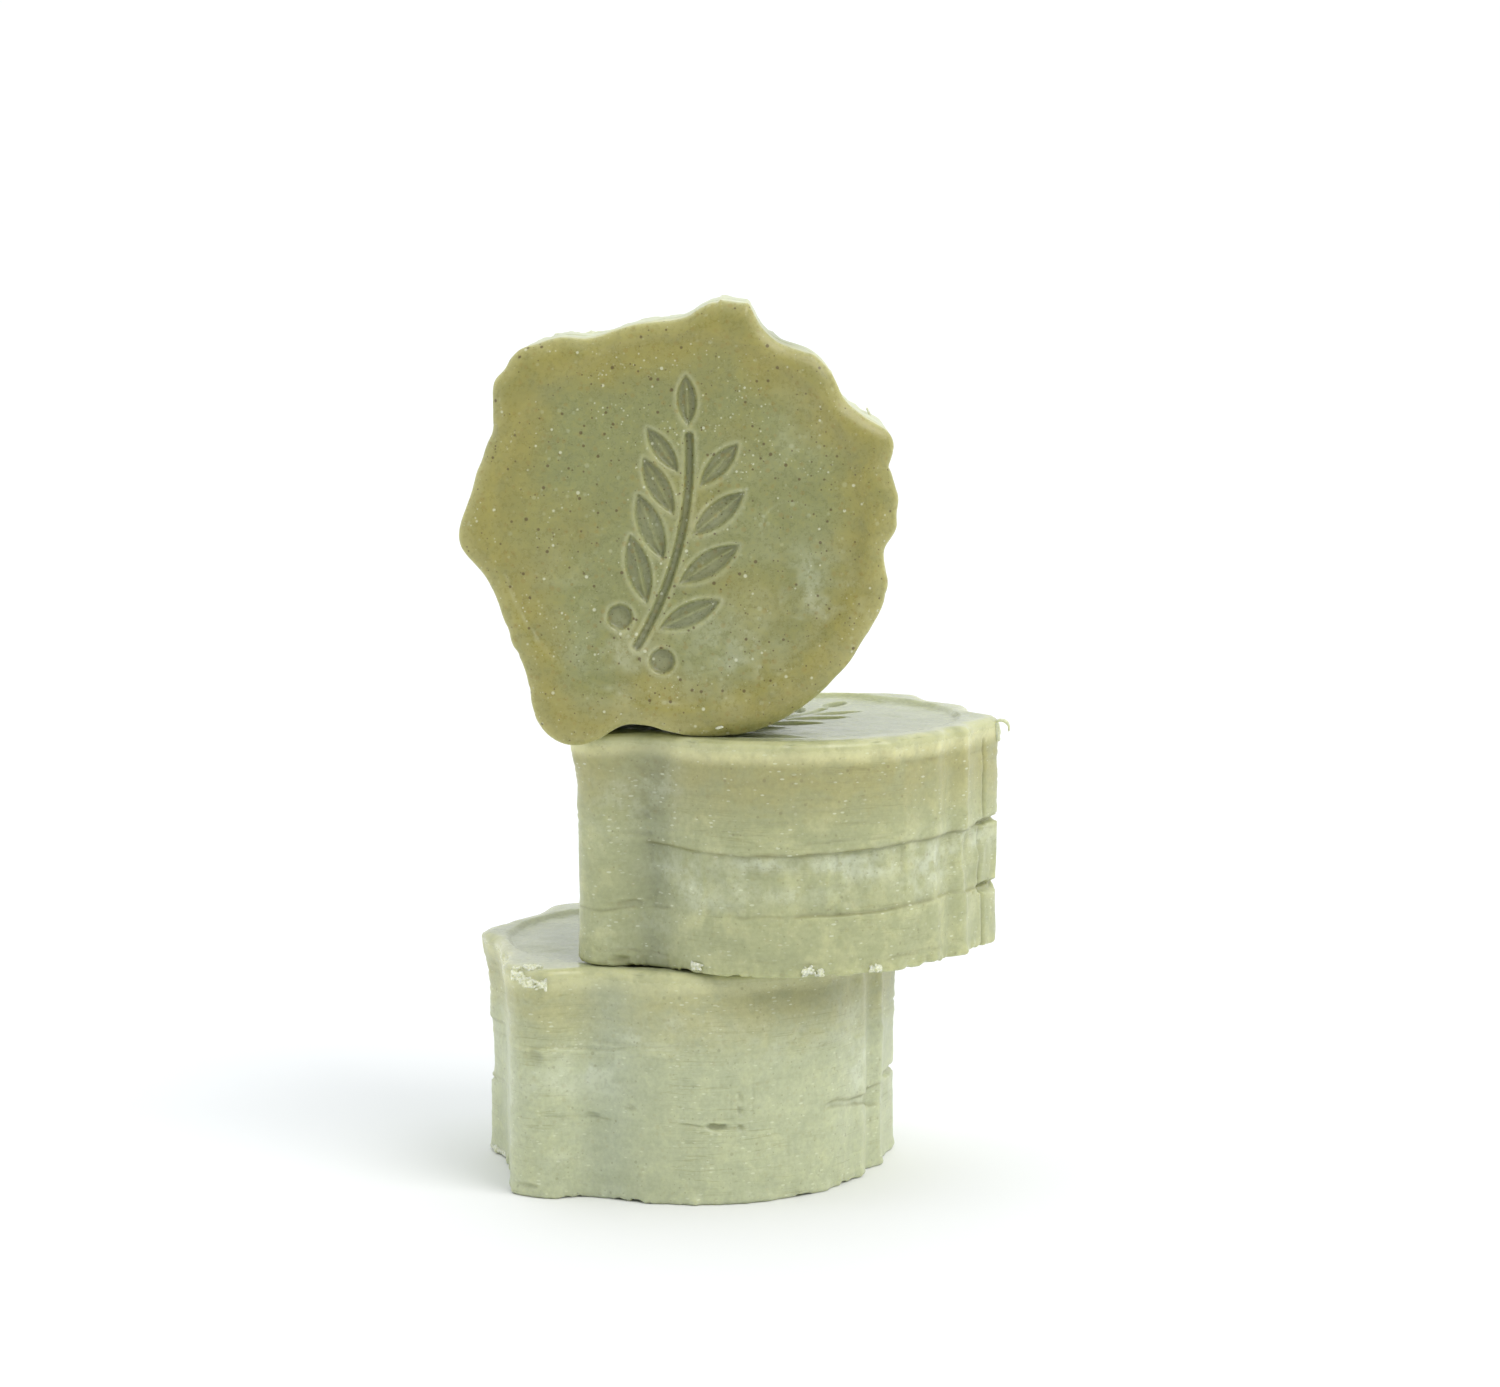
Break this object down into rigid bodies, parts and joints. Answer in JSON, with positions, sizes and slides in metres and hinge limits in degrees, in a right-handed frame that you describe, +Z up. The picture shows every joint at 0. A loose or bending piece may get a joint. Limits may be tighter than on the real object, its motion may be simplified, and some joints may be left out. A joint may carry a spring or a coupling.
{
  "type": "shaving soap puck stack",
  "caption": "Stack of thick soap pucks cast in one wax-seal mould: two lie flat, one stands on edge and shows a recessed face with a stamped leaf sprig.",
  "frame": {"origin": "centre of the bottom puck's underside, on the surface that the stack stands on", "axes": "+Z up; -Y is the front, which the upright puck's stamped face looks towards; +X to the right of that view"},
  "size_m": [0.0851, 0.0686, 0.1374],
  "materials": {
    "olive_soap": "satin",
    "dry_soap": "matte"
  },
  "bodies": {
    "bottom": {"bottom_puck": "olive_soap", "bottom_puck_crumbs": "dry_soap", "bottom_puck_burr": "dry_soap"},
    "middle": {"middle_puck": "olive_soap", "middle_puck_crumbs": "dry_soap", "middle_puck_curl": "dry_soap"},
    "upright": {"upright_puck": "olive_soap", "upright_puck_flakes": "dry_soap"}
  },
  "joints": [
    {"name": "middle_lift", "type": "slide", "parent": "bottom", "child": "middle", "axis": [0, 0, 1], "range_m": [0, 0.045]},
    {"name": "upright_lift", "type": "slide", "parent": "middle", "child": "upright", "axis": [0, 0, 1], "range_m": [0, 0.045]}
  ]
}
